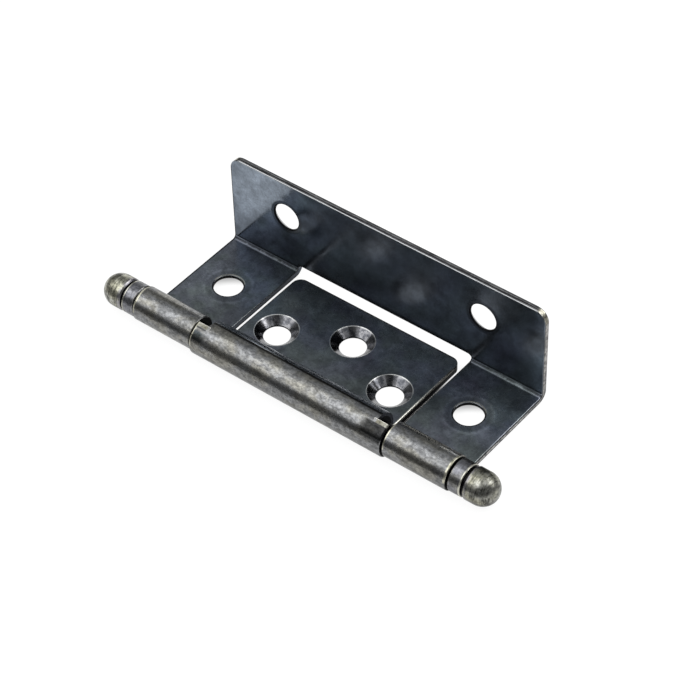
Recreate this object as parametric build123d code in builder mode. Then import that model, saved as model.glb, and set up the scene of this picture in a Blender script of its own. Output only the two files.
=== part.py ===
from build123d import *
import math
import os

os.makedirs("parts", exist_ok=True)

# Wraparound cabinet hinge, lying closed on its underside.
# X runs along the barrel, Y from the barrel to the flange, Z is up. The origin is the
# middle of the footprint on the plane that the hinge lies on. All sizes are in mm.

# ---- overall -----------------------------------------------------------------------
depth = 29.0            # front of the barrel to the back of the flange
leaf_w = 66.9           # width of the frame leaf, arms and flange alike
frame_t = 1.2           # sheet of the frame leaf
door_t = 1.5            # sheet of the door leaf

# ---- barrel ------------------------------------------------------------------------
pin_r = 2.0             # hinge pin
run_gap = 0.05          # radial running gap between the pin and the door knuckle
end_r = pin_r + frame_t             # outside of the two frame knuckles
mid_r = pin_r + run_gap + door_t    # outside of the long door knuckle
axis_y = -depth / 2 + mid_r         # pin axis
axis_z = mid_r
mid_half = 20.4         # half length of the door knuckle
end_in = 20.7           # inner ends of the frame knuckles
slit = 0.15             # seam between a curl's end and the leaf that it closes on
ear_in = 18.05          # the door knuckle's end corners are cut back from here outwards
ear_angle = 114.0       # there the curl stops bending at this angle round the pin ...
ear_flat = 0.9          # ... and ends in this much straight sheet
ear_root = 1.0          # how far the corners reach from the pin towards the leaf

# ---- frame leaf --------------------------------------------------------------------
frame_z0 = axis_z - end_r           # underside
frame_z1 = axis_z - pin_r           # top
flange_h = 18.65        # flange above the top of the arms
flange_in = depth / 2 - frame_t     # inner face of the flange
bend_r = 0.7            # inside radius of the fold
flange_top = frame_z1 + flange_h
flange_corner = 2.4     # rounded top corners of the flange
arm_in = 18.8           # inner edges of the two arms
cut_top = frame_z1 + 1.0            # the cut-out climbs over the fold to this height
cut_corner = 0.8
relief_y = axis_y + 3.9             # arms cut back here to clear the door knuckle
arm_hole_x, arm_hole_y = 26.1, axis_y + 13.65
flange_hole_x, flange_hole_z = 21.05, frame_z1 + 11.15

# ---- door leaf ---------------------------------------------------------------------
door_half = 17.75       # half width
door_back = axis_y + 23.03
door_corner = 1.8
door_hole_x, door_hole_y = 12.25, axis_y + 10.1
door_mid_y = axis_y + 15.7

# ---- screw holes -------------------------------------------------------------------
hole_r = 2.65           # frame leaf
arm_land = 0.6          # plain rim of the arms' holes, countersunk at 90 degrees below it
flange_land = 0.35      # plain rim of the flange's holes, countersunk likewise behind it
door_hole_r = 2.42      # door leaf
door_land = 0.2         # plain rim of the door leaf's holes, under the countersink
door_sink_r = 3.9       # countersink of the door leaf, at its top
door_taper = math.degrees(math.atan((door_sink_r - door_hole_r) / (door_t - door_land)))

# ---- ball tips ---------------------------------------------------------------------
tip_r = 3.04
collar_r = 3.0
collar_in = leaf_w / 2 + 0.3
groove_x0, groove_x1 = 36.25, 36.7
groove_r = 2.62
ball_x = 38.83          # centre of the rounded end
pin_half = 38.3         # the pin ends inside the tips

edge_r = 0.15           # rolled rim of the punched sheet
curl_edge_r = 0.28      # rounded ends of the door knuckle
end_edge_r = 0.2        # rounded inner ends of the frame knuckles
hole_edge_r = 0.14      # rounded rims of the plain holes
sink_edge_r = 0.1       # rounded rims of the countersinks


def curl_angle(radius):
    # angle below the horizontal at which a circle round the pin meets the curl's end
    return math.degrees(math.asin((pin_r - slit) / radius))


def lies_at(edge, axis, value):
    # the whole edge lies in the plane axis = value
    box = edge.bounding_box()
    low, high = getattr(box.min, axis), getattr(box.max, axis)
    return abs(low - value) < 1e-3 and abs(high - value) < 1e-3


def circle_of(edge, radius):
    return edge.geom_type == GeomType.CIRCLE and abs(edge.radius - radius) < 1e-3


# ---- frame leaf: arms, fold, flange and both end knuckles in one folded sheet -------
with BuildPart() as frame_leaf:
    with BuildSketch(Plane.YZ.offset(-leaf_w / 2)):
        with BuildLine():
            inner_end = (axis_y + pin_r * math.cos(math.radians(curl_angle(pin_r))), axis_z - pin_r + slit)
            outer_end = (axis_y + end_r * math.cos(math.radians(curl_angle(end_r))), axis_z - pin_r + slit)
            Polyline(
                (axis_y, frame_z0),
                (depth / 2 - bend_r - frame_t, frame_z0),
            )
            CenterArc((flange_in - bend_r, frame_z1 + bend_r), bend_r + frame_t, -90, 90)
            Polyline(
                (depth / 2, frame_z1 + bend_r),
                (depth / 2, flange_top),
                (flange_in, flange_top),
                (flange_in, frame_z1 + bend_r),
            )
            CenterArc((flange_in - bend_r, frame_z1 + bend_r), bend_r, -90, 90)
            Line((flange_in - bend_r, frame_z1), (axis_y, frame_z1))
            CenterArc((axis_y, axis_z), pin_r, 90, 180)
            CenterArc((axis_y, axis_z), pin_r, -curl_angle(pin_r), 90 + curl_angle(pin_r))
            Line(inner_end, outer_end)
            CenterArc((axis_y, axis_z), end_r, -curl_angle(end_r), 90 + curl_angle(end_r))
            CenterArc((axis_y, axis_z), end_r, 90, 180)
        make_face()
    extrude(amount=leaf_w)

    # the barrel is open in the middle for the door knuckle
    with BuildSketch(Plane.XY.offset(-1)):
        with Locations((0, (relief_y - depth / 2 - 2) / 2)):
            Rectangle(2 * end_in, relief_y + depth / 2 + 2)
    extrude(amount=30, mode=Mode.SUBTRACT)

    # U-shaped cut-out for the door leaf, reaching over the fold into the flange
    with BuildSketch(Plane.XZ.offset(-depth / 2 - 1)):
        with Locations((0, (cut_top - 1) / 2)):
            Rectangle(2 * arm_in, cut_top + 1)
        fillet(vertices().group_by(Axis.Y)[-1], cut_corner)
    extrude(amount=depth + 4, mode=Mode.SUBTRACT)

    # rounded top corners of the flange
    fillet(
        edges().filter_by(Axis.Y).group_by(Axis.Z)[-1],
        flange_corner,
    )

    # screw holes of the arms, countersunk from below
    with BuildSketch(Plane.XY.offset(-1)):
        with Locations((-arm_hole_x, arm_hole_y), (arm_hole_x, arm_hole_y)):
            Circle(hole_r)
    extrude(amount=frame_z1 + 2, mode=Mode.SUBTRACT)
    with BuildSketch(Plane.XY.offset(frame_z0)):
        with Locations((-arm_hole_x, arm_hole_y), (arm_hole_x, arm_hole_y)):
            Circle(hole_r + frame_t - arm_land)
    extrude(amount=frame_t - arm_land, taper=45, mode=Mode.SUBTRACT)

    # screw holes of the flange, countersunk from its outer face
    with BuildSketch(Plane.XZ.offset(-depth / 2 - 1)):
        with Locations((-flange_hole_x, flange_hole_z), (flange_hole_x, flange_hole_z)):
            Circle(hole_r)
    extrude(amount=frame_t + 2, mode=Mode.SUBTRACT)
    with BuildSketch(Plane.XZ.offset(-depth / 2)):
        with Locations((-flange_hole_x, flange_hole_z), (flange_hole_x, flange_hole_z)):
            Circle(hole_r + frame_t - flange_land)
    extrude(amount=frame_t - flange_land, taper=45, mode=Mode.SUBTRACT)

    # rolled rims of the punched outline: both ends, the flange's top and the cut-out
    def rim_of_frame(e):
        if abs(e.length - frame_t) < 5e-3:
            return False
        if lies_at(e, "X", -leaf_w / 2) or lies_at(e, "X", leaf_w / 2):
            bore = circle_of(e, pin_r) or lies_at(e, "Z", frame_z1 + slit)
            return not bore
        if lies_at(e, "X", -arm_in) or lies_at(e, "X", arm_in):
            return True
        if lies_at(e, "Y", flange_in) or lies_at(e, "Y", depth / 2):
            if e.geom_type == GeomType.CIRCLE:
                return circle_of(e, flange_corner) or circle_of(e, cut_corner)
            return lies_at(e, "Z", flange_top) or lies_at(e, "Z", cut_top)
        return False

    fillet(edges().filter_by(rim_of_frame), edge_r)

    # rounded inner ends of the two knuckles
    fillet(
        edges().filter_by(
            lambda e: circle_of(e, end_r) and (lies_at(e, "X", -end_in) or lies_at(e, "X", end_in))
        ),
        end_edge_r,
    )

    # rims of the holes: the plain side, and the countersunk side
    fillet(
        edges().filter_by(
            lambda e: circle_of(e, hole_r) and (lies_at(e, "Z", frame_z1) or lies_at(e, "Y", flange_in))
        ),
        hole_edge_r,
    )
    fillet(
        edges().filter_by(
            lambda e: circle_of(e, hole_r + frame_t - arm_land) or circle_of(e, hole_r + frame_t - flange_land)
        ),
        sink_edge_r,
    )

# ---- door leaf: nested plate, long knuckle ------------------------------------------
door_pin_r = pin_r + run_gap
door_z1 = door_t
in_ang = math.degrees(math.asin((door_pin_r - slit) / door_pin_r))
out_ang = math.degrees(math.asin((door_pin_r - slit) / mid_r))

with BuildPart() as door_leaf:
    with BuildSketch(Plane.YZ.offset(-ear_in)):
        with BuildLine():
            inner_end = (axis_y + door_pin_r * math.cos(math.radians(in_ang)), door_z1 + slit)
            outer_end = (axis_y + mid_r * math.cos(math.radians(out_ang)), door_z1 + slit)
            Polyline(
                (axis_y, 0),
                (door_back, 0),
                (door_back, door_z1),
                (axis_y, door_z1),
            )
            CenterArc((axis_y, axis_z), door_pin_r, 90, 180)
            CenterArc((axis_y, axis_z), door_pin_r, -in_ang, 90 + in_ang)
            Line(inner_end, outer_end)
            CenterArc((axis_y, axis_z), mid_r, -out_ang, 90 + out_ang)
            CenterArc((axis_y, axis_z), mid_r, 90, 180)
        make_face()
    extrude(amount=2 * ear_in)

    # the plate is a little narrower than the curl
    with BuildSketch(Plane.XY.offset(-1)):
        side_w = 3.0
        side_y = axis_y + ear_root
        with Locations(
            (-door_half - side_w / 2, (side_y + door_back + 1) / 2),
            (door_half + side_w / 2, (side_y + door_back + 1) / 2),
        ):
            Rectangle(side_w, door_back + 1 - side_y)
    extrude(amount=door_z1 + 1 + slit / 2, mode=Mode.SUBTRACT)

    # end corners of the knuckle: the curl stops early there, in a short straight end
    up = math.radians(ear_angle)
    tangent = (math.sin(up), -math.cos(up))
    ear_in_pt = (axis_y + door_pin_r * math.cos(up), axis_z + door_pin_r * math.sin(up))
    ear_out_pt = (axis_y + mid_r * math.cos(up), axis_z + mid_r * math.sin(up))
    for x0 in (-mid_half, ear_in - 0.5):
        with BuildSketch(Plane.YZ.offset(x0)):
            with BuildLine():
                Polyline(
                    (axis_y, 0),
                    (axis_y + ear_root, 0),
                    (axis_y + ear_root, door_z1),
                    (axis_y, door_z1),
                )
                CenterArc((axis_y, axis_z), door_pin_r, ear_angle, 270 - ear_angle)
                Polyline(
                    ear_in_pt,
                    (ear_in_pt[0] + ear_flat * tangent[0], ear_in_pt[1] + ear_flat * tangent[1]),
                    (ear_out_pt[0] + ear_flat * tangent[0], ear_out_pt[1] + ear_flat * tangent[1]),
                    ear_out_pt,
                )
                CenterArc((axis_y, axis_z), mid_r, ear_angle, 270 - ear_angle)
            make_face()
        extrude(amount=mid_half - ear_in + 0.5)

    # rounded back corners of the plate
    fillet(
        edges().filter_by(Axis.Z).group_by(Axis.Y)[-1],
        door_corner,
    )

    # three screw holes, countersunk from above
    with BuildSketch(Plane.XY.offset(-1)):
        with Locations((-door_hole_x, door_hole_y), (door_hole_x, door_hole_y), (0, door_mid_y)):
            Circle(door_hole_r)
    extrude(amount=door_z1 + 2, mode=Mode.SUBTRACT)
    with BuildSketch(Plane.XY.offset(door_z1)):
        with Locations((-door_hole_x, door_hole_y), (door_hole_x, door_hole_y), (0, door_mid_y)):
            Circle(door_sink_r)
    extrude(amount=-(door_t - door_land), taper=door_taper, mode=Mode.SUBTRACT)

    # rolled rims of the plate's sides, back and corners
    def rim_of_door(e):
        if not (lies_at(e, "Z", 0) or lies_at(e, "Z", door_z1)):
            return False
        side = lies_at(e, "X", -door_half) or lies_at(e, "X", door_half)
        return side or lies_at(e, "Y", door_back) or circle_of(e, door_corner)

    fillet(edges().filter_by(rim_of_door), edge_r)

    # rounded ends of the knuckle
    fillet(
        edges().filter_by(
            lambda e: circle_of(e, mid_r) and (lies_at(e, "X", -mid_half) or lies_at(e, "X", mid_half))
        ),
        curl_edge_r,
    )

    # rims of the countersinks
    fillet(
        edges().filter_by(lambda e: circle_of(e, door_sink_r)),
        sink_edge_r,
    )

# ---- hinge pin ----------------------------------------------------------------------
with BuildPart() as hinge_pin:
    with BuildSketch(Plane.YZ.offset(-pin_half)):
        with Locations((axis_y, axis_z)):
            Circle(pin_r)
    extrude(amount=2 * pin_half)
    chamfer(edges().filter_by(GeomType.CIRCLE), 0.4)

# ---- ball tips: collar, groove and rounded end, pressed on the pin -------------------
tip_plane = Plane(origin=(0, axis_y, axis_z), x_dir=(1, 0, 0), z_dir=(0, -1, 0))


def tip_profile(side):
    # half section of one tip in the plane of the pin axis; side is -1 or +1
    def p(x, r):
        return (side * x, r)

    end = ball_x + tip_r
    Polyline(
        p(pin_half + 0.1, 0),
        p(pin_half + 0.1, pin_r),
        p(collar_in, pin_r),
        p(collar_in, collar_r - 0.2),
        p(collar_in + 0.2, collar_r),
        p(groove_x0 - 0.12, collar_r),
        p(groove_x0, collar_r - 0.12),
        p(groove_x0, groove_r),
        p(groove_x1, groove_r),
        p(groove_x1, tip_r - 0.25),
        p(groove_x1 + 0.3, tip_r),
        p(ball_x, tip_r),
    )
    c = math.sqrt(0.5)
    ThreePointArc(p(ball_x, tip_r), p(ball_x + tip_r * c, tip_r * c), p(end, 0))
    Line(p(end, 0), p(pin_half + 0.1, 0))


with BuildPart() as finial_left:
    with BuildSketch(tip_plane):
        with BuildLine():
            tip_profile(-1)
        make_face()
    revolve(axis=Axis((0, axis_y, axis_z), (1, 0, 0)), revolution_arc=360)

with BuildPart() as finial_right:
    with BuildSketch(tip_plane):
        with BuildLine():
            tip_profile(1)
        make_face()
    revolve(axis=Axis((0, axis_y, axis_z), (1, 0, 0)), revolution_arc=360)

frame_leaf.part.label = "frame_leaf"
export_step(frame_leaf.part, "parts/frame_leaf.step")
door_leaf.part.label = "door_leaf"
export_step(door_leaf.part, "parts/door_leaf.step")
hinge_pin.part.label = "hinge_pin"
export_step(hinge_pin.part, "parts/hinge_pin.step")
finial_left.part.label = "finial_left"
export_step(finial_left.part, "parts/finial_left.step")
finial_right.part.label = "finial_right"
export_step(finial_right.part, "parts/finial_right.step")
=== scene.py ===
import bpy
import math
from mathutils import Matrix, Vector

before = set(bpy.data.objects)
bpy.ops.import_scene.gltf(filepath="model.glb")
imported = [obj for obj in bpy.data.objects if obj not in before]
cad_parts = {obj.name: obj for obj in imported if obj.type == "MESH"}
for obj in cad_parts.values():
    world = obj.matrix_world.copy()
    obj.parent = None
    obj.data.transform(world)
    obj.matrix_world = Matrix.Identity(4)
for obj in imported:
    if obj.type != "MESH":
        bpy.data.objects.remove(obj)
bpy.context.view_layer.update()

# Sizes of the hinge in millimetres, in the row frame: X along the barrel, Y from the barrel
# to the flange, Z up.
AXIS_Y, AXIS_Z = -10.95, 3.55
MID_R, END_R = 3.55, 3.2
ARM_HOLES = ((-26.1, 2.70), (26.1, 2.70))
FLANGE_HOLES = ((-21.05, 12.70), (21.05, 12.70))
DOOR_HOLES = ((-12.25, -0.85), (12.25, -0.85), (0.0, 4.75))
HOLE_R, SINK_R = 2.65, 3.9


# ---- node helpers --------------------------------------------------------------------
class Nodes:
    def __init__(self, name):
        self.mat = bpy.data.materials.new(name)
        self.mat.use_nodes = True
        self.tree = self.mat.node_tree
        self.tree.nodes.clear()
        self.out = self.add("ShaderNodeOutputMaterial")
        self.bsdf = self.add("ShaderNodeBsdfPrincipled")
        self.tree.links.new(self.bsdf.outputs["BSDF"], self.out.inputs["Surface"])
        coords = self.add("ShaderNodeTexCoord")
        self.mm = self.vec("MULTIPLY", coords.outputs["Object"], (1000.0, 1000.0, 1000.0))
        split = self.add("ShaderNodeSeparateXYZ")
        self.tree.links.new(self.mm, split.inputs[0])
        self.x, self.y, self.z = split.outputs[0], split.outputs[1], split.outputs[2]
        geometry = self.add("ShaderNodeNewGeometry")
        turned = self.add("ShaderNodeVectorTransform", vector_type="NORMAL", convert_from="WORLD", convert_to="OBJECT")
        self.tree.links.new(geometry.outputs["True Normal"], turned.inputs[0])
        facing = self.add("ShaderNodeSeparateXYZ")
        self.tree.links.new(turned.outputs[0], facing.inputs[0])
        self.nx, self.ny, self.nz = facing.outputs[0], facing.outputs[1], facing.outputs[2]

    def add(self, kind, **props):
        node = self.tree.nodes.new(kind)
        for key, value in props.items():
            setattr(node, key, value)
        return node

    def put(self, socket, value):
        if isinstance(value, bpy.types.NodeSocket):
            self.tree.links.new(value, socket)
        elif value is not None:
            socket.default_value = value

    def math(self, op, a, b=None, c=None, clamp=False):
        node = self.add("ShaderNodeMath", operation=op, use_clamp=clamp)
        self.put(node.inputs[0], a)
        if b is not None:
            self.put(node.inputs[1], b)
        if c is not None:
            self.put(node.inputs[2], c)
        return node.outputs[0]

    def vec(self, op, a, b=None):
        node = self.add("ShaderNodeVectorMath", operation=op)
        self.put(node.inputs[0], a)
        if b is not None:
            self.put(node.inputs[1], b)
        return node.outputs["Value"] if op in ("LENGTH", "DOT_PRODUCT") else node.outputs["Vector"]

    def ramp(self, value, low, high, to_low=0.0, to_high=1.0, smooth=True):
        node = self.add("ShaderNodeMapRange", interpolation_type="SMOOTHSTEP" if smooth else "LINEAR")
        self.put(node.inputs["Value"], value)
        node.inputs["From Min"].default_value = low
        node.inputs["From Max"].default_value = high
        node.inputs["To Min"].default_value = to_low
        node.inputs["To Max"].default_value = to_high
        return node.outputs["Result"]

    def window(self, value, a, b, c, d):
        # rises from a to b, falls from c to d
        return self.math("MULTIPLY", self.ramp(value, a, b), self.ramp(value, c, d, 1.0, 0.0))

    def every(self, *masks):
        total = masks[0]
        for mask in masks[1:]:
            total = self.math("MULTIPLY", total, mask)
        return total

    def any(self, *masks):
        total = masks[0]
        for mask in masks[1:]:
            total = self.math("MAXIMUM", total, mask)
        return total

    def no(self, mask):
        return self.math("SUBTRACT", 1.0, mask)

    def noise(self, vector, scale, detail=3.0, rough=0.55, distortion=0.0):
        node = self.add("ShaderNodeTexNoise")
        self.put(node.inputs["Vector"], vector)
        node.inputs["Scale"].default_value = scale
        node.inputs["Detail"].default_value = detail
        node.inputs["Roughness"].default_value = rough
        node.inputs["Distortion"].default_value = distortion
        return node.outputs["Fac"]

    def stretch(self, sx, sy, sz, offset=(0.0, 0.0, 0.0)):
        moved = self.vec("ADD", self.mm, offset)
        return self.vec("MULTIPLY", moved, (sx, sy, sz))

    def mix(self, fac, a, b):
        node = self.add("ShaderNodeMix", data_type="RGBA")
        self.put(node.inputs["Factor"], fac)
        self.put(node.inputs[6], a if isinstance(a, bpy.types.NodeSocket) else (*a, 1.0))
        self.put(node.inputs[7], b if isinstance(b, bpy.types.NodeSocket) else (*b, 1.0))
        return node.outputs[2]

    def blend(self, fac, a, b):
        node = self.add("ShaderNodeMix", data_type="FLOAT")
        self.put(node.inputs["Factor"], fac)
        self.put(node.inputs[2], a)
        self.put(node.inputs[3], b)
        return node.outputs[0]

    def scaled(self, color, factor):
        node = self.add("ShaderNodeVectorMath", operation="SCALE")
        self.put(node.inputs[0], color)
        self.put(node.inputs["Scale"], factor)
        return node.outputs["Vector"]

    def add_all(self, *values):
        total = values[0]
        for value in values[1:]:
            total = self.math("ADD", total, value)
        return total

    def bump(self, height, distance, strength=1.0):
        node = self.add("ShaderNodeBump")
        node.inputs["Strength"].default_value = strength
        node.inputs["Distance"].default_value = distance
        self.put(node.inputs["Height"], height)
        return node.outputs["Normal"]

    def edge(self, radius, low, high):
        # 1 where the surface turns within the radius, 0 on flat and gently curved places
        bevel = self.add("ShaderNodeBevel", samples=4)
        bevel.inputs["Radius"].default_value = radius
        geometry = self.add("ShaderNodeNewGeometry")
        dot = self.vec("DOT_PRODUCT", bevel.outputs["Normal"], geometry.outputs["Normal"])
        return self.ramp(dot, high, low, 0.0, 1.0)

    def ao_shade(self, distance, low, high, floor_value):
        # painted shade: darkens corners and narrow gaps by ambient occlusion
        node = self.add("ShaderNodeAmbientOcclusion", samples=5)
        node.inputs["Distance"].default_value = distance
        return self.ramp(node.outputs["AO"], low, high, floor_value, 1.0)

    def away(self, u, v, centre):
        du = self.math("SUBTRACT", u, centre[0])
        dv = self.math("SUBTRACT", v, centre[1])
        return self.math("SQRT", self.math("ADD", self.math("MULTIPLY", du, du), self.math("MULTIPLY", dv, dv)))

    def nearest(self, u, v, centres):
        # distance to the nearest of several centres
        total = self.away(u, v, centres[0])
        for centre in centres[1:]:
            total = self.math("MINIMUM", total, self.away(u, v, centre))
        return total

    def hump(self, value, centre, width):
        off = self.math("DIVIDE", self.math("SUBTRACT", value, centre), width)
        return self.math("EXPONENT", self.math("MULTIPLY", self.math("MULTIPLY", off, off), -1.0))

    def axis_radius(self):
        return self.away(self.y, self.z, (AXIS_Y, AXIS_Z))

    def turn(self):
        # angle round the pin in degrees, 0 towards the flange and 90 straight up
        dy = self.math("SUBTRACT", self.y, AXIS_Y)
        dz = self.math("SUBTRACT", self.z, AXIS_Z)
        return self.math("DEGREES", self.math("ARCTAN2", dz, dy))


def pewter_color(n, warm=(0.205, 0.200, 0.180), cool=(0.196, 0.199, 0.203)):
    """Rubbed antique pewter as a colour socket, with its mottling."""
    blotch = n.noise(n.stretch(0.28, 0.5, 0.5), 1.0, 3.0, 0.55, 0.5)
    warmth = n.noise(n.stretch(0.20, 0.36, 0.36, (31.0, 7.0, 3.0)), 1.0, 3.0, 0.6)
    mottle = n.noise(n.stretch(0.85, 1.35, 1.35, (5.0, 2.0, 9.0)), 1.0, 4.0, 0.66)
    light = n.mix(n.ramp(warmth, 0.40, 0.64), cool, warm)
    base = n.mix(n.ramp(blotch, 0.30, 0.60), n.scaled(light, 0.80), light)
    base = n.mix(n.ramp(mottle, 0.36, 0.58), n.scaled(base, 0.70), n.scaled(base, 1.16))
    dapple = n.noise(n.stretch(1.9, 2.6, 2.6, (2.0, 6.0, 1.0)), 1.0, 3.0, 0.6)
    base = n.scaled(base, n.ramp(dapple, 0.34, 0.62, 0.74, 1.16))
    smear = n.noise(n.stretch(0.22, 2.6, 2.6, (8.0, 1.0, 6.0)), 1.0, 3.0, 0.6)
    base = n.mix(n.ramp(smear, 0.56, 0.70, 0.0, 0.5), base, n.scaled(base, 0.6))
    # painted shade: the underside is darker
    base = n.scaled(base, n.blend(n.ramp(n.x, -24.0, -19.0, 1.0, 0.0), n.ramp(n.nz, -0.05, -0.40, 1.0, 0.40), n.ramp(n.nz, -0.20, -0.55, 1.0, 0.55)))
    return base, mottle


def inside_turn(n, turn):
    # the part of the barrel that faces the leaves
    return n.math("MAXIMUM", n.ramp(turn, 62.0, 70.0, 1.0, 0.0), n.ramp(n.math("ABSOLUTE", turn), 172.0, 179.0))


def sheet_material(name):
    """Dark plated sheet, rubbed to lighter pewter on the rolled knuckle."""
    n = Nodes(name)
    radius = n.axis_radius()
    turn = n.turn()
    wobble = n.noise(n.mm, 0.8, 3.0)
    barrel = n.ramp(n.math("ADD", radius, n.math("MULTIPLY", n.math("SUBTRACT", wobble, 0.5), 0.2)), 3.62, 3.80, 1.0, 0.0)
    shelf = n.ramp(n.z, 2.1, 2.7, 1.0, 0.0)
    wall = n.every(n.ramp(n.y, 12.5, 13.2), n.ramp(n.z, 1.7, 2.5))

    # ---- plating of the flat sheet
    cloud = n.noise(n.stretch(0.13, 0.15, 0.15, (3.0, 11.0, 5.0)), 1.0, 4.0, 0.6, 0.6)
    patch = n.noise(n.stretch(0.42, 0.42, 0.42, (21.0, 4.0, 15.0)), 1.0, 4.0, 0.62, 0.5)
    grain = n.noise(n.mm, 2.4, 5.0, 0.72)
    tint = n.noise(n.stretch(0.16, 0.16, 0.16, (6.0, 33.0, 2.0)), 1.0, 2.0, 0.5)
    front = n.ramp(n.y, -7.0, 5.0, 1.0, 0.0)
    leaf = n.mix(front, (0.100, 0.110, 0.130), (0.108, 0.118, 0.134))
    leaf = n.scaled(leaf, n.ramp(n.every(n.ramp(n.y, 1.0, 6.0), n.window(n.x, -8.0, 4.0, 17.7, 18.5)), 0.0, 1.0, 1.0, 1.38))
    leaf = n.mix(n.ramp(tint, 0.46, 0.62, 0.0, 0.8), leaf, n.vec("MULTIPLY", leaf, (0.98, 1.04, 0.90)))
    leaf = n.mix(n.ramp(tint, 0.30, 0.42, 0.7, 0.0), leaf, n.vec("MULTIPLY", leaf, (1.06, 0.96, 1.05)))
    outer = n.ramp(n.math("ABSOLUTE", n.x), 23.0, 30.0, 0.0, 1.0)
    outer = n.every(outer, n.ramp(n.y, -4.5, 0.5, 0.55, 1.0), n.ramp(n.y, 6.0, 9.0, 1.0, 0.5), n.ramp(n.x, -5.0, 5.0, 0.75, 1.0))
    leaf = n.scaled(leaf, n.math("MULTIPLY_ADD", outer, 0.80, 1.0))
    # painted shade: the flange is darker lower down, and its middle and right are dimmed to weaken reflections
    upright = n.mix(n.ramp(n.z, 3.0, 16.0), (0.080, 0.095, 0.118), (0.170, 0.198, 0.236))
    upright = n.scaled(upright, n.ramp(n.x, -23.0, -12.0, 1.0, 0.50))
    # painted reflection edge: darker below a sloped line that mirrors the left arm's outer edge
    sloped = n.math("SUBTRACT", n.z, n.math("MULTIPLY_ADD", n.x, 0.8, 28.4))
    reflection_edge_shade = n.ramp(sloped, -1.5, 0.5, 0.55, 1.0)
    upright = n.scaled(upright, n.blend(n.ramp(n.x, -19.0, -13.0), reflection_edge_shade, n.ramp(n.z, 6.0, 12.0, 0.84, 1.0)))
    # painted highlight: lighter at the right end; painted shade on the lower right
    upright = n.scaled(upright, n.ramp(n.x, 30.8, 32.8, 1.0, 1.75))
    upright = n.scaled(upright, n.ramp(n.every(n.window(n.x, 22.0, 26.0, 30.0, 32.0), n.ramp(n.z, 9.0, 6.0, 0.0, 1.0)), 0.0, 1.0, 1.0, 0.74))
    # painted shade: two patches are dimmed to hide reflected spots
    upright = n.mix(n.ramp(n.away(n.x, n.z, (-16.1, 14.3)), 1.6, 4.2, 1.0, 0.0), upright, n.vec("MULTIPLY", upright, (0.36, 0.40, 0.46)))
    upright = n.scaled(upright, n.ramp(n.away(n.x, n.z, (32.3, 13.4)), 1.2, 3.4, 0.55, 1.0))
    # the back face is also darker lower down, as painted shade
    behind = n.mix(n.ramp(n.z, 3.0, 16.0), (0.092, 0.107, 0.130), (0.135, 0.157, 0.188))
    upright = n.mix(n.ramp(n.y, 13.40, 13.70), upright, behind)
    plate = n.mix(wall, leaf, upright)
    plate = n.scaled(plate, n.ramp(cloud, 0.30, 0.70, 0.70, 1.30, smooth=False))
    plate = n.scaled(plate, n.ramp(patch, 0.30, 0.70, 0.70, 1.30, smooth=False))
    plate = n.scaled(plate, n.ramp(grain, 0.30, 0.70, 0.76, 1.24, smooth=False))
    fleck = n.noise(n.stretch(1.0, 1.0, 1.0, (17.0, 3.0, 8.0)), 4.6, 2.0, 0.5)
    plate = n.mix(n.ramp(fleck, 0.66, 0.78, 0.0, 0.35), plate, (0.24, 0.25, 0.25))

    # soft rings pressed round the plain holes, with painted shade inside them and a painted highlight on the arm
    # rings' outer edge
    arm_d = n.nearest(n.x, n.y, ARM_HOLES)
    flange_d = n.nearest(n.x, n.z, FLANGE_HOLES)
    broken = n.noise(n.stretch(0.7, 0.7, 0.7, (12.0, 5.0, 7.0)), 1.0, 3.0, 0.6)
    arm_ring_highlight = n.every(n.hump(arm_d, 4.35, 0.30), shelf, n.ramp(broken, 0.36, 0.60))
    arm_ring_highlight = n.math("MULTIPLY", arm_ring_highlight, n.ramp(n.math("ABSOLUTE", n.x), 18.7, 18.9))
    plate = n.scaled(plate, n.math("ADD", 1.0, n.math("MULTIPLY", arm_ring_highlight, 0.40)))
    arm_ring_shade = n.every(n.hump(arm_d, 3.5, 0.45), shelf)
    plate = n.scaled(plate, n.ramp(arm_ring_shade, 0.0, 1.0, 1.0, 0.82))
    facing_in = n.ramp(n.y, 13.72, 13.62)
    flange_ring_shade = n.every(n.ramp(flange_d, 3.1, 3.75, 1.0, 0.0), wall, facing_in)
    plate = n.scaled(plate, n.ramp(flange_ring_shade, 0.0, 1.0, 1.0, 0.42))

    # painted shade: the fold's highlight is toned down in patches, and a painted highlight lightens the hollow band
    # just above it
    fold = n.every(n.window(n.z, 1.56, 1.66, 2.15, 2.5), n.ramp(n.y, 12.1, 12.4))
    fold_hollow_highlight = n.every(n.window(n.z, 1.84, 1.90, 2.04, 2.14), n.ramp(n.y, 12.1, 12.4))
    fold_lighter_spots = n.every(n.ramp(broken, 0.40, 0.62), n.window(n.x, -32.5, -30.0, -18.7, -18.6))
    fold_lighter_spots = n.any(fold_lighter_spots, n.every(n.ramp(broken, 0.40, 0.62), n.window(n.x, 21.0, 24.5, 32.2, 33.2)))
    plate = n.scaled(plate, n.blend(fold, 1.0, n.blend(fold_hollow_highlight, n.ramp(fold_lighter_spots, 0.0, 1.0, 0.24, 0.60), 2.0)))
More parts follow.
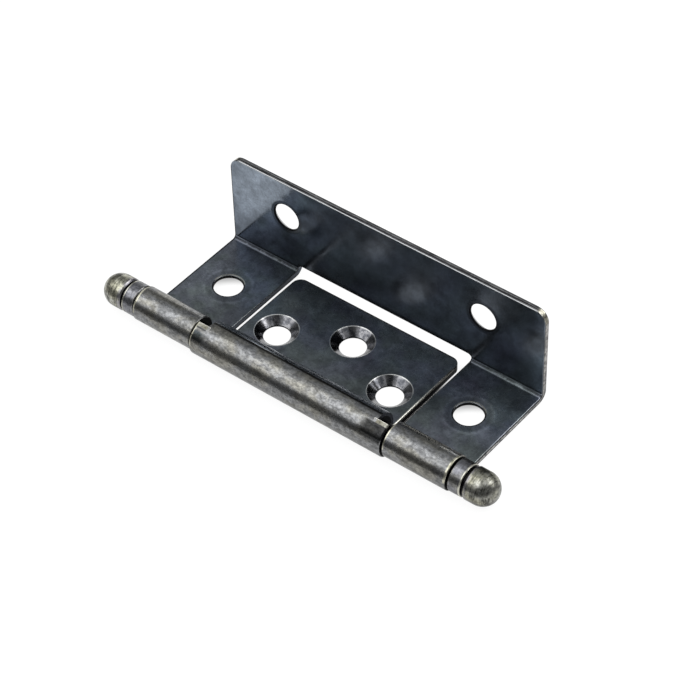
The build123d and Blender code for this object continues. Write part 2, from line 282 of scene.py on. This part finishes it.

    # painted shade: darker rims of the sheet on its far and left edges, along the arms' inner edges and on the flange
    # above the cut-out
    far_rim_shade = n.every(n.ramp(n.y, 11.66, 11.76), n.ramp(n.y, 12.15, 12.10, 0.0, 1.0), n.ramp(n.math("ABSOLUTE", n.x), 17.8, 17.9, 1.0, 0.0), n.ramp(n.z, 1.6, 1.65, 1.0, 0.0))
    left_rim_shade = n.every(n.ramp(n.z, 1.6, 1.65, 1.0, 0.0), n.ramp(n.x, -17.46, -17.54), n.ramp(n.x, -17.78, -17.82, 1.0, 0.0), n.ramp(n.y, -9.9, -9.7))
    outer_rim_shade = n.every(n.ramp(n.x, -33.02, -33.14), n.any(n.ramp(n.z, 1.7, 1.6, 0.0, 1.0), n.ramp(n.x, -33.16, -33.26)))
    arm_rim_shade = n.every(n.window(n.x, -18.86, -18.82, -18.79, -18.77), n.ramp(n.y, -7.0, -6.9), n.ramp(n.z, 1.62, 1.70, 1.0, 0.0))
    arm_rim_shade = n.any(arm_rim_shade, n.every(n.window(n.x, 18.5, 18.7, 19.05, 19.2), n.ramp(n.y, 2.0, 8.0), n.ramp(n.z, 1.62, 1.70, 1.0, 0.0)))
    cut_rim_shade = n.every(n.window(n.z, 2.50, 2.54, 2.86, 2.98), n.ramp(n.math("ABSOLUTE", n.x), 18.9, 19.0, 1.0, 0.0), n.ramp(n.y, 12.9, 13.1))
    plate = n.scaled(plate, n.ramp(n.any(far_rim_shade, left_rim_shade, outer_rim_shade, arm_rim_shade, cut_rim_shade), 0.0, 1.0, 1.0, 0.16))

    pewter, mottle = pewter_color(n)
    # painted shade: the highlight band is darkened at the right end of the long knuckle
    right_end_shade = n.every(n.window(n.x, 14.6, 17.2, 20.44, 20.54), n.window(turn, 107.0, 114.0, 146.0, 154.0))
    pewter = n.scaled(pewter, n.ramp(right_end_shade, 0.0, 1.0, 1.0, 0.17))
    # darker teal patch at the left end of the long knuckle
    left_dark_patch = n.every(n.window(n.x, -20.54, -20.44, -18.9, -17.0), n.window(turn, 120.0, 128.0, 148.0, 156.0))
    pewter = n.mix(n.math("MULTIPLY", left_dark_patch, 0.9), pewter, n.vec("MULTIPLY", pewter, (0.15, 0.19, 0.22)))
    long_part = n.ramp(n.math("ABSOLUTE", n.x), 17.9, 18.1, 1.0, 0.0)
    # painted reflection: the back top of the long knuckle gets a lighter bluish grey
    back_reflection = n.every(long_part, n.window(turn, 36.0, 40.0, 70.0, 74.0))
    # painted shade: a near-black line along the top back of the long knuckle
    seam_shade = n.every(long_part, n.window(turn, 72.0, 75.5, 79.0, 83.0))
    pewter = n.mix(back_reflection, pewter, n.scaled(n.mix(n.ramp(grain, 0.3, 0.7), (0.25, 0.275, 0.31), (0.38, 0.415, 0.46)), 1.0))
    pewter = n.mix(n.math("MULTIPLY", seam_shade, 0.92), pewter, (0.012, 0.012, 0.013))
    # painted highlight: the back top of the right frame knuckle is lighter
    right_back_highlight = n.every(n.ramp(n.x, 20.5, 20.7), n.window(turn, 30.0, 36.0, 74.0, 82.0))
    pewter = n.scaled(pewter, n.ramp(right_back_highlight, 0.0, 1.0, 1.0, 1.9))
    color = n.mix(barrel, plate, pewter)

    # ---- sheared faces: ends of the sheet and walls of the holes, near black: partly their dark fracture zone, partly painted shade
    side = n.ramp(n.math("ABSOLUTE", n.nx), 0.90, 0.98)
    walls = n.every(n.ramp(arm_d, HOLE_R + 0.02, HOLE_R + 0.06, 1.0, 0.0), shelf)
    holes = n.every(n.ramp(flange_d, HOLE_R + 0.02, HOLE_R + 0.06, 1.0, 0.0), n.ramp(n.y, 12.6, 13.0))
    rear = n.every(n.ramp(n.ny, 0.90, 0.98), n.ramp(n.y, 11.9, 12.0), n.ramp(n.y, 12.3, 12.2, 0.0, 1.0), n.ramp(n.z, 1.6, 1.55, 0.0, 1.0))
    cut = n.any(side, walls, holes)
    shear = n.noise(n.stretch(2.2, 2.2, 5.0, (4.0, 4.0, 4.0)), 1.0, 3.0, 0.6)
    color = n.mix(cut, color, n.mix(n.ramp(shear, 0.42, 0.66), (0.002, 0.002, 0.0025), (0.008, 0.008, 0.0085)))

    # above the shear zone the sides keep the plating
    upper = n.every(side, n.window(n.x, -18.95, -18.85, -18.75, -18.70), n.ramp(n.z, 0.66, 0.84), n.ramp(n.y, -7.2, -7.0))
    color = n.mix(upper, color, (0.092, 0.104, 0.124))
    # painted shade: the curls' end faces, seen in the notches, are dark
    curl_end = n.every(side, n.ramp(n.math("ABSOLUTE", n.x), 18.3, 18.2), n.ramp(n.math("ABSOLUTE", n.x), 17.9, 18.0), n.ramp(radius, 2.85, 3.05))
    color = n.mix(curl_end, color, (0.050, 0.050, 0.056))

    # the outer ends of the frame leaf are rubbed grey along the middle of the sheet
    outer_end = n.every(side, n.ramp(n.math("ABSOLUTE", n.x), 33.2, 33.4), n.ramp(radius, 3.3, 3.6))
    mid_low = n.every(n.window(n.z, 0.55, 0.80, 1.05, 1.25), n.ramp(n.y, 12.6, 12.9, 1.0, 0.0))
    mid_up = n.every(n.window(n.y, 13.40, 13.62, 14.20, 14.42), n.ramp(n.z, 1.6, 2.2))
    bend_d = n.away(n.y, n.z, (12.6, 2.25))
    mid_bend = n.every(n.window(bend_d, 1.00, 1.15, 1.50, 1.65), n.ramp(n.y, 12.5, 12.7), n.ramp(n.z, 2.3, 2.1))
    mid_low = n.any(mid_low, n.math("MULTIPLY", mid_bend, 0.8))
    streaks = n.noise(n.stretch(1.0, 1.1, 2.6, (9.0, 2.0, 3.0)), 1.0, 4.0, 0.7)
    grey = n.mix(n.ramp(streaks, 0.40, 0.60), (0.09, 0.09, 0.095), (0.46, 0.45, 0.43))
    color = n.mix(n.math("MULTIPLY", outer_end, n.any(mid_low, mid_up)), color, grey)

    corner = n.every(n.ramp(n.math("ABSOLUTE", n.x), 30.9, 31.2), n.ramp(n.z, 17.7, 18.0), n.ramp(n.math("ABSOLUTE", n.ny), 0.5, 0.3), n.window(n.y, 13.38, 13.5, 14.3, 14.42))
    color = n.mix(corner, color, n.mix(n.ramp(streaks, 0.38, 0.60), (0.16, 0.155, 0.13), (0.46, 0.44, 0.37)))

    # top edge of the flange: fine drawn lines along the sheet
    top = n.every(n.ramp(n.z, 20.02, 20.16), n.ramp(n.nz, 0.80, 0.95))
    lines = n.noise(n.stretch(0.22, 4.2, 4.2, (14.0, 4.0, 4.0)), 1.0, 3.0, 0.65)
    speck = n.noise(n.stretch(2.0, 3.0, 3.0, (1.0, 8.0, 4.0)), 1.0, 4.0, 0.7)
    drawn = n.math("ADD", n.math("MULTIPLY", lines, 0.65), n.math("MULTIPLY", speck, 0.35))
    wander = n.math("MULTIPLY_ADD", n.noise(n.stretch(0.12, 0.1, 0.1, (3.0, 1.0, 1.0)), 1.0, 3.0), 0.24, -0.12)
    across = n.math("ADD", n.y, wander)
    stripes = n.any(n.window(across, 13.60, 13.66, 13.84, 13.92), n.math("MULTIPLY", n.window(across, 14.14, 14.18, 14.28, 14.34), 0.7))
    top_color = n.mix(n.ramp(drawn, 0.40, 0.60), (0.060, 0.060, 0.064), (0.27, 0.27, 0.275))
    top_color = n.scaled(top_color, n.ramp(stripes, 0.0, 1.0, 1.0, 0.22))
    color = n.mix(top, color, top_color)

    # ---- the short ends of the long knuckle
    ear = n.window(n.math("ABSOLUTE", n.x), 18.0, 18.12, 20.42, 20.50)
    flat = n.every(n.window(turn, 94.0, 97.0, 109.5, 112.0), ear, n.no(side))
    flat_color = n.mix(n.ramp(n.math("ABSOLUTE", n.x), 18.6, 20.3), (0.13, 0.125, 0.10), (0.27, 0.265, 0.23))
    color = n.mix(flat, color, n.scaled(flat_color, n.ramp(grain, 0.36, 0.60, 0.6, 1.15)))
    # painted shade: a dark line below the rubbed flat
    crease_shade = n.every(n.window(turn, 110.5, 112.5, 115.5, 117.5), ear)
    color = n.mix(n.math("MULTIPLY", crease_shade, 0.8), color, (0.03, 0.03, 0.031))

    # ---- edges: painted highlight with rubbed patches on edges facing the barrel and the right, painted shade on the far and left edges
    lean = n.math("SUBTRACT", n.math("MULTIPLY", n.nx, 0.7), n.math("MULTIPLY", n.ny, 0.7))
    lit = n.ramp(lean, -0.02, 0.22)
    faces_away = n.ramp(lean, -0.08, -0.30)
    rub = n.noise(n.stretch(0.45, 0.45, 0.45, (2.0, 41.0, 13.0)), 1.0, 3.0, 0.6)
    turned = n.edge(0.00022, 0.80, 0.985)
    inner_arm = n.every(n.window(n.x, 18.45, 18.65, 19.1, 19.3), n.ramp(n.y, -7.3, -7.0))
    wear_and_edge_highlight = n.every(turned, lit, n.ramp(rub, 0.34, 0.60, 0.35, 1.0), n.no(cut), n.no(top), n.no(inner_arm))
    color = n.mix(wear_and_edge_highlight, color, (0.62, 0.61, 0.56))
    edge_shade = n.every(turned, n.no(barrel), n.any(faces_away, inner_arm), n.no(cut), n.no(top))
    color = n.mix(edge_shade, color, (0.006, 0.006, 0.007))

    # pale rims at the ends of the knuckles: rubbed metal with a painted highlight, kept off the side that faces the
    # leaves
    ends = n.window(n.x, -33.50, -33.42, -33.12, -33.00)
    ends = n.any(ends, n.window(n.x, -20.50, -20.36, -20.10, -20.00), n.window(n.x, 20.60, 20.72, 20.98, 21.10), n.window(n.x, 33.00, 33.10, 33.42, 33.50))
    ends = n.every(ends, barrel, n.ramp(radius, 3.0, 3.1), n.no(inside_turn(n, turn)))
    ends = n.every(ends, n.ramp(rub, 0.34, 0.56, 0.45, 1.0))
    color = n.mix(ends, color, n.mix(n.ramp(mottle, 0.36, 0.60), (0.34, 0.33, 0.25), (0.58, 0.56, 0.46)))

    # painted highlight: bright line along the flange's inner top edge
    crest_highlight = n.every(n.window(n.z, 19.98, 20.06, 20.30, 20.40), n.ramp(n.ny, -0.20, -0.40), n.ramp(n.y, 13.5, 13.4, 0.0, 1.0))
    color = n.mix(n.math("MULTIPLY", crest_highlight, n.ramp(rub, 0.30, 0.55, 0.7, 1.0)), color, (0.50, 0.51, 0.52))

    # cream line along the door leaf's right edge: rubbed metal and a painted highlight, brightest near the barrel
    right_edge_wear_and_highlight = n.every(n.window(n.x, 17.44, 17.54, 17.80, 17.85), n.window(n.z, 1.10, 1.18, 1.56, 1.62), n.ramp(n.y, -7.3, -7.1), n.ramp(n.y, 10.4, 9.0))
    cream = n.mix(n.ramp(n.y, -4.0, 8.0), (0.72, 0.71, 0.64), (0.20, 0.195, 0.18))
    color = n.mix(n.math("MULTIPLY", right_edge_wear_and_highlight, n.ramp(rub, 0.30, 0.55, 0.75, 1.0)), color, cream)

    # painted highlight on the thin rims of the countersinks; their cones are rubbed in patches and get painted shade
    # on the near side
    door_d = n.nearest(n.x, n.y, DOOR_HOLES)
    plate_only = n.every(n.ramp(n.math("ABSOLUTE", n.x), 17.0, 17.3, 1.0, 0.0), n.ramp(n.z, 1.56, 1.62, 1.0, 0.0), n.no(barrel))
    cone = n.every(n.ramp(door_d, SINK_R - 0.10, SINK_R - 0.02, 1.0, 0.0), plate_only)
    cone_patch = n.noise(n.stretch(0.9, 0.9, 0.9, (7.0, 7.0, 7.0)), 1.0, 4.0, 0.7)
    cone_color = n.mix(n.ramp(cone_patch, 0.38, 0.62), (0.075, 0.078, 0.088), (0.215, 0.215, 0.225))
    cone_color = n.scaled(cone_color, n.ramp(grain, 0.32, 0.62, 0.7, 1.2))
    cone_near_shade = None
    for centre in DOOR_HOLES:
        toward = n.math("ADD", n.math("MULTIPLY", n.math("SUBTRACT", n.x, centre[0]), 0.72), n.math("MULTIPLY", n.math("SUBTRACT", n.y, centre[1]), -0.69))
        own = n.every(n.ramp(toward, 1.5, 2.4), n.ramp(n.away(n.x, n.y, centre), 4.0, 4.1, 1.0, 0.0))
        cone_color = n.scaled(cone_color, n.ramp(own, 0.0, 1.0, 1.0, 0.30))
        cone_near_shade = own if cone_near_shade is None else n.any(cone_near_shade, own)
    # the frame leaf's countersinks, behind the flange and under the arms
    rear_sink = n.every(n.ramp(flange_d, 3.60, 3.52), n.ramp(n.y, 13.62, 13.70))
    low_sink = n.every(n.ramp(arm_d, 3.36, 3.28), n.ramp(n.z, 0.97, 0.91))
    color = n.mix(n.any(cone, rear_sink, low_sink), color, cone_color)
    sink_rim_highlight = n.every(n.hump(door_d, SINK_R, 0.09), plate_only, n.ramp(n.z, 1.30, 1.38))
    color = n.mix(n.math("MULTIPLY", sink_rim_highlight, n.ramp(rub, 0.32, 0.58, 0.35, 1.0)), color, (0.66, 0.66, 0.64))
    # painted shade: the holes' inner lip is near black
    lip = n.every(n.ramp(door_d, 2.50, 2.44), plate_only)
    color = n.mix(lip, color, (0.010, 0.010, 0.011))

    # painted shade: dark line round the plain holes, on the arms only off the lit side; painted highlight on the far
    # rim
    arm_hole_shade_line = n.every(n.ramp(arm_d, HOLE_R + 0.20, HOLE_R + 0.32, 1.0, 0.0), shelf, n.no(lit), n.ramp(n.z, 0.90, 1.0))
    flange_hole_shade_line = n.every(n.ramp(flange_d, HOLE_R + 0.16, HOLE_R + 0.28, 1.0, 0.0), wall, facing_in)
    color = n.mix(n.any(arm_hole_shade_line, flange_hole_shade_line), color, (0.007, 0.007, 0.008))

    far_side = None
    for centre in ARM_HOLES:
        along = n.math("ADD", n.math("MULTIPLY", n.math("SUBTRACT", n.x, centre[0]), -0.40), n.math("MULTIPLY", n.math("SUBTRACT", n.y, centre[1]), 0.90))
        here = n.every(n.ramp(along, 0.4, 1.4), n.ramp(n.away(n.x, n.y, centre), 4.0, 4.2, 1.0, 0.0))
        far_side = here if far_side is None else n.any(far_side, here)
    far_hole_highlight = n.every(n.hump(arm_d, HOLE_R + 0.24, 0.08), far_side, shelf, n.ramp(rub, 0.36, 0.52, 0.3, 1.0))
    color = n.mix(far_hole_highlight, color, (0.52, 0.50, 0.42))

    # painted shade: insides of the curls, seen through the notches, are near black, and all narrow gaps are darkened
    # by occlusion
    curl_inside_shade = n.every(n.ramp(radius, 3.02, 2.80), n.ramp(n.y, -7.0, -7.3))
    color = n.mix(curl_inside_shade, color, (0.006, 0.006, 0.006))
    open_air = n.any(fold, n.every(back_reflection, barrel), n.every(wall, n.ramp(n.z, 1.6, 2.0)))
    color = n.scaled(color, n.blend(open_air, n.ao_shade(0.0011, 0.14, 0.52, 0.10), 1.0))
    n.put(n.bsdf.inputs["Base Color"], color)

    ends_grey = n.any(n.every(outer_end, n.any(mid_low, mid_up)), upper, curl_end, right_edge_wear_and_highlight, ends)
    # the cut faces and the painted-shade places are made matte and non-metallic, so they stay dark
    matte_shade = n.any(n.every(cut, n.no(ends_grey)), n.every(edge_shade, n.no(right_edge_wear_and_highlight)), far_rim_shade, left_rim_shade, outer_rim_shade, arm_rim_shade, cut_rim_shade, curl_inside_shade)
    matte_shade = n.every(n.any(matte_shade, n.every(cone_near_shade, cone, n.no(sink_rim_highlight))), n.no(crest_highlight))
    n.put(n.bsdf.inputs["Metallic"], n.math("SUBTRACT", 1.0, n.math("MULTIPLY", matte_shade, 0.95), clamp=True))
    n.put(n.bsdf.inputs["Specular IOR Level"], n.ramp(matte_shade, 0.0, 1.0, 0.5, 0.04))
    sheen = n.noise(n.stretch(0.6, 0.6, 0.6, (9.0, 9.0, 1.0)), 1.0, 4.0)
    rough_sheet = n.blend(wall, n.ramp(sheen, 0.3, 0.7, 0.22, 0.32), n.math("ADD", n.ramp(sheen, 0.3, 0.7, 0.105, 0.145), n.ramp(n.x, -18.0, -4.0, 0.0, 0.10)))
    corner_haze = n.every(wall, n.window(n.x, -22.0, -19.0, -10.0, -6.0), n.ramp(n.z, 9.0, 6.0, 0.0, 1.0))
    rough_sheet = n.math("MULTIPLY_ADD", corner_haze, 0.08, rough_sheet)
    rough_barrel = n.ramp(mottle, 0.30, 0.60, 0.37, 0.26)
    rough = n.blend(barrel, rough_sheet, rough_barrel)
    rough = n.blend(cone, rough, 0.17)
    rough = n.blend(fold, rough, 0.40)
    rough = n.blend(n.any(cut, top), rough, 0.52)
    n.put(n.bsdf.inputs["Roughness"], rough)

    waves = n.noise(n.stretch(0.16, 0.16, 0.16, (1.0, 2.0, 3.0)), 1.0, 1.5, 0.4)
    fine = n.noise(n.mm, 3.4, 4.0, 0.65)
    flat_rings = n.every(n.hump(arm_d, 4.3, 0.40), shelf)
    bent_rings = n.every(n.hump(flange_d, 3.35, 0.30), wall)
    height = n.add_all(
        n.math("MULTIPLY", waves, n.ramp(wall, 0.0, 1.0, 0.040, 0.014)),
        n.math("MULTIPLY", fine, n.ramp(barrel, 0.0, 1.0, 0.0035, 0.012)),
        n.math("MULTIPLY", flat_rings, 0.012),
        n.math("MULTIPLY", bent_rings, 0.008),
    )
    n.put(n.bsdf.inputs["Normal"], n.bump(height, 0.001))
    return n.mat


def tip_material(name):
    """Pewter turned tip with fine marks round the axis, darkened in the groove, and painted shade in its corners."""
    n = Nodes(name)
    radius = n.axis_radius()
    ball = n.ramp(n.math("ABSOLUTE", n.x), 36.6, 36.9)
    pewter, mottle = pewter_color(n, (0.215, 0.210, 0.180), (0.205, 0.205, 0.205))
    collar = n.vec("MULTIPLY", pewter, (0.94, 0.95, 1.04))
    # painted light: the left ball is made lighter than the right
    ball_tone_and_light = n.scaled(n.vec("MULTIPLY", pewter, (1.10, 1.10, 1.0)), n.ramp(n.x, -30.0, 30.0, 1.50, 1.08))
    color = n.mix(ball, collar, ball_tone_and_light)
    marks = n.noise(n.stretch(3.2, 0.45, 0.45), 1.0, 4.0, 0.65)
    spots = n.noise(n.stretch(1.1, 1.1, 1.1, (3.0, 8.0, 1.0)), 1.0, 4.0, 0.7, 0.5)
    dirt = n.math("MULTIPLY", n.ramp(marks, 0.51, 0.36), n.ramp(ball, 0.0, 1.0, 0.45, 1.0))
    color = n.mix(dirt, color, n.scaled(color, 0.28))
    color = n.mix(n.every(ball, n.ramp(marks, 0.52, 0.64)), color, n.scaled(color, 1.30))
    neck = n.every(n.window(n.math("ABSOLUTE", n.x), 36.3, 36.6, 37.0, 37.6), n.ramp(spots, 0.38, 0.52))
    color = n.mix(n.math("MULTIPLY", neck, 0.7), color, (0.27, 0.26, 0.30))
    color = n.mix(n.math("MULTIPLY", n.ramp(spots, 0.56, 0.70), ball), color, n.vec("MULTIPLY", color, (0.55, 0.54, 0.46)))
    edge = n.edge(0.00018, 0.82, 0.985)
    color = n.mix(n.math("MULTIPLY", edge, n.ramp(radius, 2.80, 2.9, 0.0, 0.9)), color, (0.58, 0.56, 0.47))
    lip = n.every(n.window(n.math("ABSOLUTE", n.x), 35.92, 36.00, 36.20, 36.26), n.ramp(radius, 2.76, 2.84), n.ramp(spots, 0.34, 0.50, 0.5, 1.0))
    color = n.mix(lip, color, (0.50, 0.49, 0.42))
    groove = n.math("MAXIMUM", n.ramp(radius, 2.70, 2.90, 0.03, 1.0), n.ramp(n.math("ABSOLUTE", n.x), 38.0, 38.6))
    # painted shade in corners and gaps
    color = n.scaled(color, n.ao_shade(0.0011, 0.14, 0.52, 0.10))
    color = n.scaled(color, groove)
    n.put(n.bsdf.inputs["Base Color"], color)
    n.bsdf.inputs["Metallic"].default_value = 1.0
    n.put(n.bsdf.inputs["Roughness"], n.ramp(mottle, 0.30, 0.60, 0.40, 0.29))
    fine = n.noise(n.mm, 3.4, 4.0, 0.65)
    height = n.add_all(n.math("MULTIPLY", fine, 0.014), n.math("MULTIPLY", marks, 0.012))
    n.put(n.bsdf.inputs["Normal"], n.bump(height, 0.001))
    return n.mat


def pin_material(name):
    """Blackened drawn steel, seen only in the seams of the barrel."""
    n = Nodes(name)
    streak = n.noise(n.stretch(0.3, 3.0, 3.0), 1.0, 3.0, 0.6)
    stain = n.noise(n.stretch(0.4, 0.6, 0.6), 1.0, 3.0, 0.6)
    color = n.mix(n.ramp(streak, 0.35, 0.65), (0.010, 0.010, 0.011), (0.026, 0.026, 0.026))
    color = n.mix(n.ramp(stain, 0.5, 0.7, 0.0, 0.5), color, (0.016, 0.013, 0.010))
    n.put(n.bsdf.inputs["Base Color"], color)
    n.bsdf.inputs["Metallic"].default_value = 1.0
    n.put(n.bsdf.inputs["Roughness"], n.ramp(streak, 0.3, 0.7, 0.34, 0.5))
    n.put(n.bsdf.inputs["Normal"], n.bump(n.math("MULTIPLY", streak, 0.004), 0.001))
    return n.mat


def dress(node, material):
    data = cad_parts[node].data
    data.materials.clear()
    data.materials.append(material)


sheet = sheet_material("dark_plated_sheet")
tips = tip_material("pewter_tip")
dress("frame_leaf", sheet)
dress("door_leaf", sheet)
dress("finial_left", tips)
dress("finial_right", tips)
dress("hinge_pin", pin_material("pin_steel"))


# ---- floor ---------------------------------------------------------------------------
def make_floor():
    mesh = bpy.data.meshes.new("floor")
    half = 3.0
    mesh.from_pydata([(-half, -half, 0), (half, -half, 0), (half, half, 0), (-half, half, 0)], [], [(0, 1, 2, 3)])
    floor = bpy.data.objects.new("floor", mesh)
    bpy.context.scene.collection.objects.link(floor)
    floor.location = (0.0, 0.0, -0.00005)
    n = Nodes("white_floor")
    n.bsdf.inputs["Roughness"].default_value = 0.9
    n.bsdf.inputs["Specular IOR Level"].default_value = 0.1
    n.bsdf.inputs["Emission Color"].default_value = (1.0, 1.0, 1.0, 1.0)
    # the paper is in shade under the far sides of the two plain holes
    under = n.ramp(n.nearest(n.x, n.y, ARM_HOLES), 4.6, 5.2, 1.0, 0.0)
    shade = None
    for centre in ARM_HOLES:
        along = n.math("ADD", n.math("MULTIPLY", n.math("SUBTRACT", n.x, centre[0]), -0.64), n.math("MULTIPLY", n.math("SUBTRACT", n.y, centre[1]), 0.77))
        far = n.ramp(along, 1.3, 4.0, 1.0, 0.48)
        far = n.blend(n.ramp(n.away(n.x, n.y, centre), 6.0, 8.0), far, 1.0)
        shade = far if shade is None else n.math("MULTIPLY", shade, far)
    # and in the narrow slot on the right of the door leaf
    slot = n.every(n.window(n.x, 17.2, 17.7, 19.2, 19.8), n.window(n.y, -12.0, -9.0, 3.0, 11.0), n.no(n.ao_shade(0.0016, 0.60, 0.78, 0.0)))
    lit = n.math("MULTIPLY", n.blend(under, 1.0, shade), n.ramp(slot, 0.0, 1.0, 1.0, 0.03))
    n.put(n.bsdf.inputs["Base Color"], n.mix(slot, (0.14, 0.14, 0.14), (0.02, 0.02, 0.02)))
    n.put(n.bsdf.inputs["Emission Strength"], n.math("MULTIPLY", lit, 0.92))
    mesh.materials.append(n.mat)


make_floor()


# ---- light ---------------------------------------------------------------------------
def softbox(name, direction, distance, width, height, radiance, color=(1.0, 1.0, 1.0)):
    light = bpy.data.lights.new(name, "AREA")
    light.shape = "RECTANGLE"
    light.size, light.size_y = width, height
    light.energy = radiance * math.pi * width * height
    light.color = color
    obj = bpy.data.objects.new(name, light)
    bpy.context.scene.collection.objects.link(obj)
    d = Vector(direction).normalized()
    obj.location = d * distance
    obj.rotation_euler = d.to_track_quat("Z", "Y").to_euler()
    obj.visible_camera = False
    return obj


softbox("back_right", (0.52, 0.46, 0.66), 1.3, 0.8, 0.9, 3.4)
softbox("front_left", (-0.43, -0.45, 0.785), 1.3, 1.1, 1.1, 1.95)

softbox("back_left", (-0.46, 0.86, 0.17), 1.6, 0.8, 0.56, 1.25)

# dark cards of the studio, seen only in the gloss: one lies low in front of the barrel, one
# stands high on the right
card_mat = bpy.data.materials.new("dark_card")
card_mat.use_nodes = True
card_bsdf = card_mat.node_tree.nodes["Principled BSDF"]
card_bsdf.inputs["Base Color"].default_value = (0.03, 0.03, 0.03, 1.0)
card_bsdf.inputs["Roughness"].default_value = 1.0


def dark_card(name, x0, y0, x1, y1):
    mesh = bpy.data.meshes.new(name)
    mesh.from_pydata([(x0, y0, 0), (x1, y0, 0), (x1, y1, 0), (x0, y1, 0)], [], [(0, 1, 2, 3)])
    mesh.materials.append(card_mat)
    obj = bpy.data.objects.new(name, mesh)
    bpy.context.scene.collection.objects.link(obj)
    obj.visible_camera = False
    obj.visible_diffuse = False
    obj.visible_shadow = False
    return obj


low_card = dark_card("low_card", -0.5, -0.50, 0.5, -0.030)
low_card.location = (0.0, 0.0, 0.0002)
high_card = dark_card("high_card", -0.34, -0.30, 0.34, 0.30)
high_way = Vector((0.458, -0.554, 0.695))
high_card.location = high_way * 1.25
high_card.rotation_euler = high_way.to_track_quat("Z", "Y").to_euler()

world = bpy.data.worlds.new("studio")
bpy.context.scene.world = world
world.use_nodes = True
tree = world.node_tree
background = tree.nodes["Background"]
coords = tree.nodes.new("ShaderNodeTexCoord")
split = tree.nodes.new("ShaderNodeSeparateXYZ")
tree.links.new(coords.outputs["Generated"], split.inputs[0])
shade = tree.nodes.new("ShaderNodeValToRGB")
tree.links.new(split.outputs[2], shade.inputs[0])
stops = shade.color_ramp.elements
stops[0].position, stops[0].color = 0.0, (0.09, 0.093, 0.10, 1.0)
stops[1].position, stops[1].color = 1.0, (0.96, 0.97, 0.98, 1.0)
for position, level in ((0.35, 0.16), (0.60, 0.34), (0.72, 0.56), (0.84, 0.80)):
    stop = stops.new(position)
    stop.color = (level * 0.98, level, level * 1.02, 1.0)
tree.links.new(shade.outputs[0], background.inputs["Color"])
background.inputs["Strength"].default_value = 1.0


# ---- camera --------------------------------------------------------------------------
azimuth, elevation, roll = math.radians(39.57), math.radians(44.02), math.radians(-1.85)
forward = Vector((-math.sin(azimuth) * math.cos(elevation), math.cos(azimuth) * math.cos(elevation), -math.sin(elevation)))
right = Vector((math.cos(azimuth), math.sin(azimuth), 0.0))
up = right.cross(forward)
cam_x = right * math.cos(roll) + up * math.sin(roll)
cam_y = -right * math.sin(roll) + up * math.cos(roll)
camera_data = bpy.data.cameras.new("camera")
camera_data.sensor_width = 36.0
camera_data.sensor_fit = "HORIZONTAL"
camera_data.lens = 2594.95 * 36.0 / 680.0
camera = bpy.data.objects.new("camera", camera_data)
bpy.context.scene.collection.objects.link(camera)
target = Vector((-0.00197, 0.0037, 0.00155))
place = target - forward * 0.44425
camera.matrix_world = Matrix((
    (cam_x.x, cam_y.x, -forward.x, place.x),
    (cam_x.y, cam_y.y, -forward.y, place.y),
    (cam_x.z, cam_y.z, -forward.z, place.z),
    (0.0, 0.0, 0.0, 1.0),
))
camera_data.clip_start = 0.01
bpy.context.scene.camera = camera
bpy.context.scene.view_settings.view_transform = "Standard"
